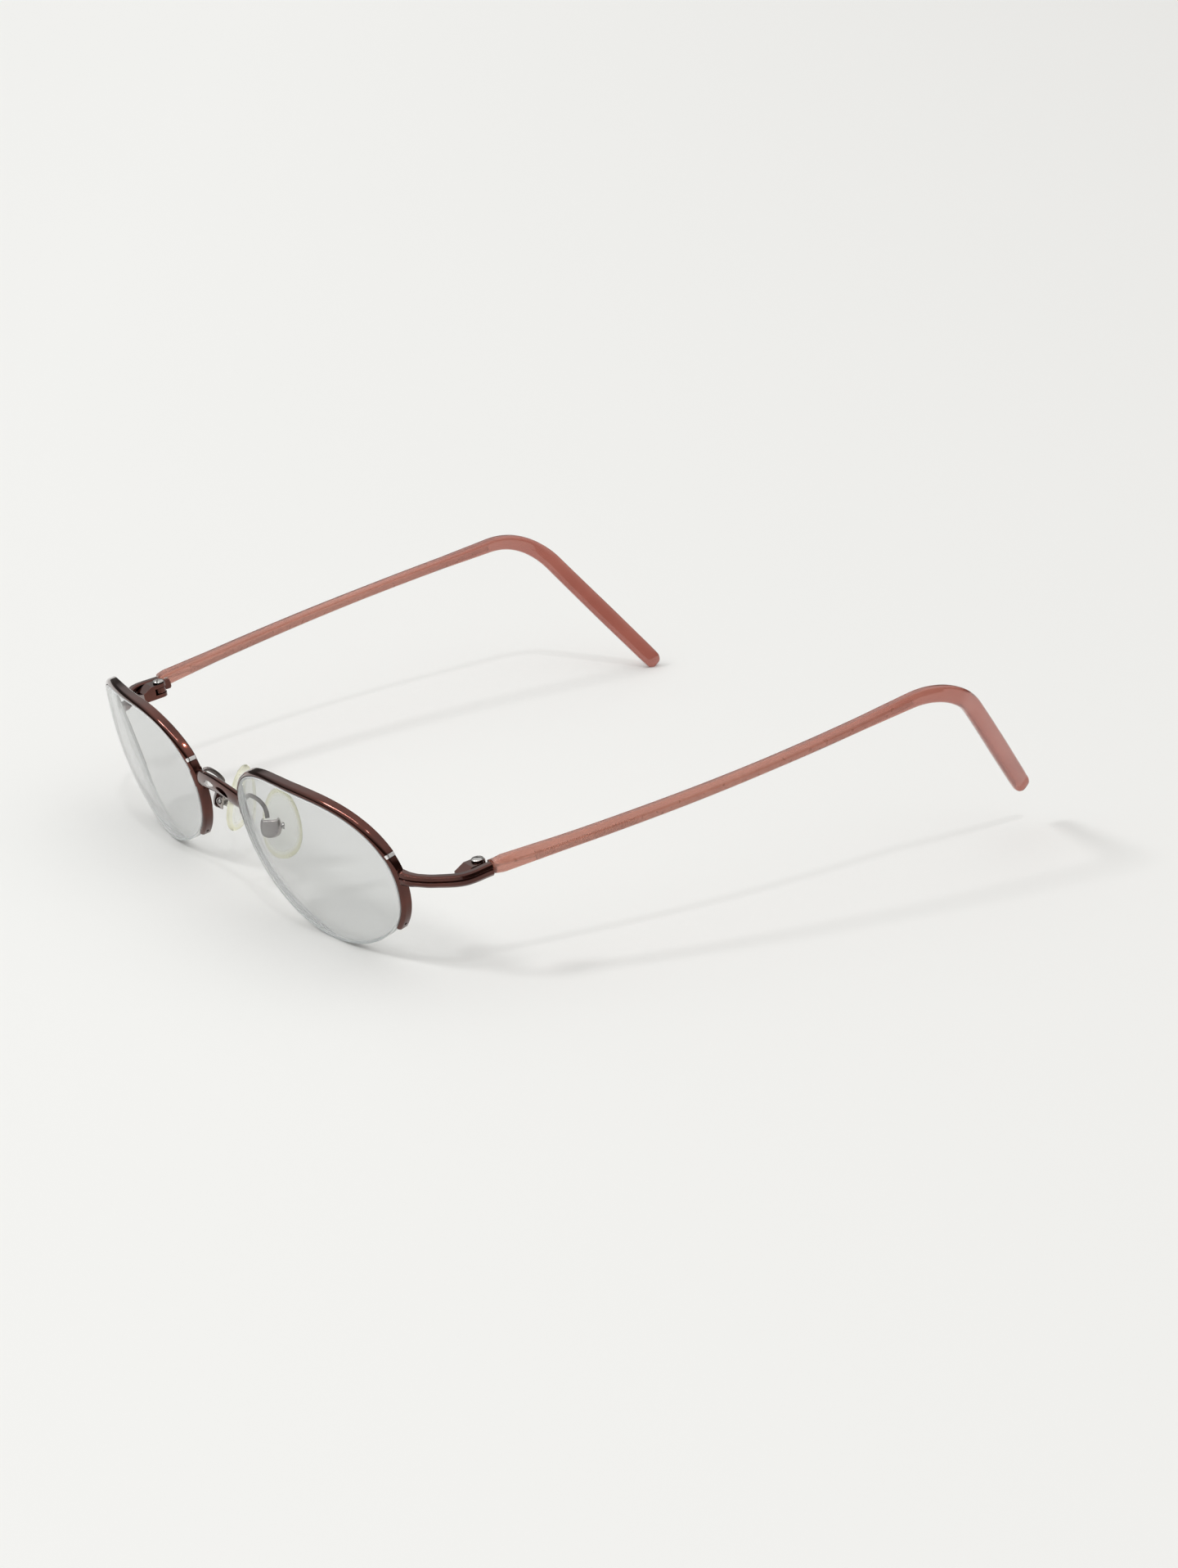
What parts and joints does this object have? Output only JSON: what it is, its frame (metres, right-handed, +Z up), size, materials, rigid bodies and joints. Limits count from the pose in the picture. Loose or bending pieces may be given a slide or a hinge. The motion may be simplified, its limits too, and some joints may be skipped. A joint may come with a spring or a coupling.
{
  "type": "semi-rimless eyeglasses",
  "caption": "Open semi-rimless eyeglasses: metal brow rims over curved lenses, sculpted bridge, rocking nose pads, screwed hinges and wire-core plastic temples with bent tips.",
  "frame": {"origin": "centre of the bounding box at floor level, below the space between the open temples", "axes": "+Z up, +X to the wearer's left, and the lens fronts face -Y; the temples run back towards +Y"},
  "size_m": [0.158, 0.1458, 0.0384],
  "materials": {
    "plated_metal": "glossy dark burgundy-brown plating",
    "gunmetal": "polished dark grey plating",
    "silver_screw": "bright silver",
    "lens_clear": "clear, very faint grey, polished",
    "nylon": "translucent grey nylon",
    "pad_silicone": "clear, faintly yellow soft moulding",
    "rose_acetate": "glossy translucent rose-brown plastic",
    "core_wire": "plain drawn wire seen through the plastic"
  },
  "bodies": {
    "front": {"bridge": "plated_metal", "lens_left": "lens_clear", "lens_right": "lens_clear", "rim_left": "plated_metal", "rim_right": "plated_metal", "rim_liner_left": "nylon", "rim_liner_right": "nylon", "nylon_line_left": "nylon", "nylon_line_right": "nylon", "endpiece_left": "plated_metal", "endpiece_right": "plated_metal", "hinge_front_left": "plated_metal", "hinge_front_right": "plated_metal", "hinge_screw_left": "silver_screw", "hinge_screw_right": "silver_screw", "pad_arm_left": "gunmetal", "pad_arm_right": "gunmetal", "pad_box_left": "gunmetal", "pad_box_right": "gunmetal", "pad_screw_left": "silver_screw", "pad_screw_right": "silver_screw"},
    "temple_left": {"hinge_tongue_left": "plated_metal", "temple_left": "rose_acetate", "temple_core_left": "core_wire"},
    "temple_right": {"hinge_tongue_right": "plated_metal", "temple_right": "rose_acetate", "temple_core_right": "core_wire"},
    "nose_pad_left": {"nose_pad_left": "pad_silicone"},
    "nose_pad_right": {"nose_pad_right": "pad_silicone"}
  },
  "joints": [
    {"name": "temple_fold_left", "type": "hinge", "parent": "front", "child": "temple_left", "pos_m": [0.0646, -0.0504, 0.0196], "axis": [0, -0.1253, 0.9921], "range_deg": [0, 90]},
    {"name": "temple_fold_right", "type": "hinge", "parent": "front", "child": "temple_right", "pos_m": [-0.0646, -0.0504, 0.0196], "axis": [0, 0.1253, -0.9921], "range_deg": [0, 90]},
    {"name": "nose_pad_rock_left", "type": "hinge", "parent": "front", "child": "nose_pad_left", "pos_m": [0.0097, -0.0635, 0.0144], "axis": [0.4695, 0.8829, 0], "range_deg": [-8, 8]},
    {"name": "nose_pad_rock_right", "type": "hinge", "parent": "front", "child": "nose_pad_right", "pos_m": [-0.0097, -0.0635, 0.0144], "axis": [-0.4695, 0.8829, 0], "range_deg": [-8, 8]}
  ]
}
